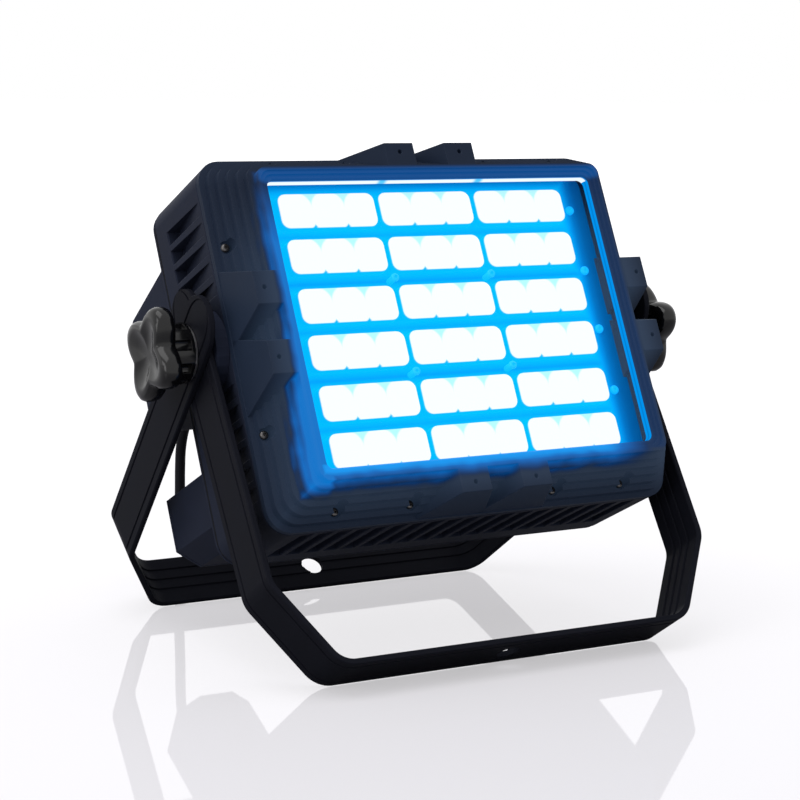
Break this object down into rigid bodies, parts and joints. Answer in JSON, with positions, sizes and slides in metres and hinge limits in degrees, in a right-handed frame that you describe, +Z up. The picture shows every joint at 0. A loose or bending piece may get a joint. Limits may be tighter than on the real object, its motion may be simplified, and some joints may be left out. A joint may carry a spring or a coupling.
{
  "type": "led wash light",
  "caption": "Floor-standing LED wash light: ribbed rectangular head with a grid of lens blocks behind glass, tilting between two spread U-yokes clamped by star knobs.",
  "frame": {"origin": "on the floor, under the middle of the box round the lamp and its two yokes, without its cord", "axes": "+X to the lamp's left as it faces the stage (right in the picture), -Y the side that the beam leaves from, +Z up; the pivot axis is parallel to X"},
  "size_m": [0.42, 0.5385, 0.3448],
  "materials": {
    "cast_paint": "satin black paint on cast aluminium",
    "yoke_paint": "satin black paint on steel strip",
    "black_moulding": "fine-textured black moulding",
    "knob_plastic": "glossy black",
    "rubber": "matt black",
    "steel": "plain zinc",
    "glass": "clear",
    "lens": "clear lenses, lit white",
    "glow_plate": "white plate lit blue",
    "board": "circuit board",
    "driver_case": "plain",
    "cord_jacket": "satin black"
  },
  "bodies": {
    "front_yoke": {"front_yoke": "yoke_paint", "mains_cord": "cord_jacket", "mains_cord_coil": "cord_jacket", "mains_plug": "rubber"},
    "rear_yoke": {"rear_yoke": "yoke_paint", "knob_washer_left": "steel", "knob_washer_right": "steel"},
    "knob_left": {"knob_left": "knob_plastic"},
    "knob_right": {"knob_right": "knob_plastic"},
    "head": {"pivot_boss_right": "cast_paint", "pivot_stud_right": "steel", "pivot_boss_left": "cast_paint", "pivot_stud_left": "steel", "front_bezel": "black_moulding", "window_gasket": "rubber", "window_glass": "glass", "lens_plate": "glow_plate", "heatsink_casting": "cast_paint", "rear_gasket": "rubber", "rear_casing": "cast_paint", "led_driver": "driver_case", "control_board": "board", "control_panel": "black_moulding", "led_board_bottom": "board", "led_board_middle": "board", "led_board_top": "board", "lens_block_bottom_1_1": "lens", "lens_block_bottom_1_2": "lens", "lens_block_bottom_1_3": "lens", "lens_block_bottom_2_1": "lens", "lens_block_bottom_2_2": "lens", "lens_block_bottom_2_3": "lens", "lens_block_middle_1_1": "lens", "lens_block_middle_1_2": "lens", "lens_block_middle_1_3": "lens", "lens_block_middle_2_1": "lens", "lens_block_middle_2_2": "lens", "lens_block_middle_2_3": "lens", "lens_block_top_1_1": "lens", "lens_block_top_1_2": "lens", "lens_block_top_1_3": "lens", "lens_block_top_2_1": "lens", "lens_block_top_2_2": "lens", "lens_block_top_2_3": "lens", "junction_box_left": "cast_paint", "junction_lid_left": "black_moulding", "junction_box_right": "cast_paint", "junction_lid_right": "black_moulding", "vent_plug": "black_moulding", "data_socket_in": "black_moulding", "data_socket_out": "black_moulding", "cable_gland": "black_moulding", "cable_sleeve": "rubber"}
  },
  "joints": [
    {"name": "head_tilt", "type": "hinge", "parent": "front_yoke", "child": "head", "pos_m": [0, -0.01294, 0.20668], "axis": [1, 0, 0], "range_deg": [-60, 60]},
    {"name": "rear_yoke_spread", "type": "hinge", "parent": "front_yoke", "child": "rear_yoke", "pos_m": [0, -0.01294, 0.20668], "axis": [1, 0, 0], "range_deg": [-70, 14]},
    {"name": "knob_left_turn", "type": "hinge", "parent": "head", "child": "knob_left", "pos_m": [0, -0.01294, 0.20668], "axis": [1, 0, 0], "continuous": true},
    {"name": "knob_right_turn", "type": "hinge", "parent": "head", "child": "knob_right", "pos_m": [0, -0.01294, 0.20668], "axis": [1, 0, 0], "continuous": true}
  ]
}
